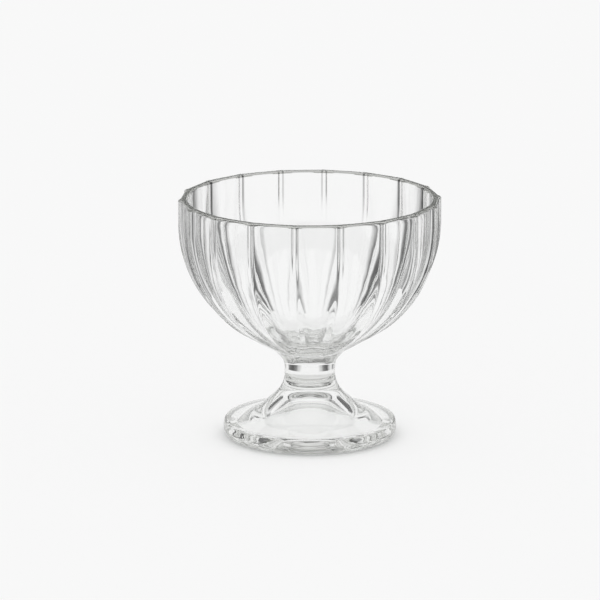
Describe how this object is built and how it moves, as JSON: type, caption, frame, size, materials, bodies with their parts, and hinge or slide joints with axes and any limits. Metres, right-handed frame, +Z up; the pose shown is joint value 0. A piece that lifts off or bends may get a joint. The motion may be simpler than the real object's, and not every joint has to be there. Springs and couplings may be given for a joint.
{
  "type": "footed dessert glass",
  "caption": "Clear pressed-glass dessert coupe: a wide round bowl with vertical flutes outside, on a short solid stem and a hollow bell-shaped foot.",
  "frame": {"origin": "on the upright axis, at the height of the table that the base ring stands on", "axes": "+Z up along the axis of the bowl, stem and foot; a land between two flutes is centred on -Y"},
  "size_m": [0.0994, 0.1004, 0.0931],
  "materials": {
    "clear_glass": "fire-polished"
  },
  "bodies": {
    "root": {"bowl": "clear_glass", "stem": "clear_glass", "foot": "clear_glass"}
  },
  "joints": []
}
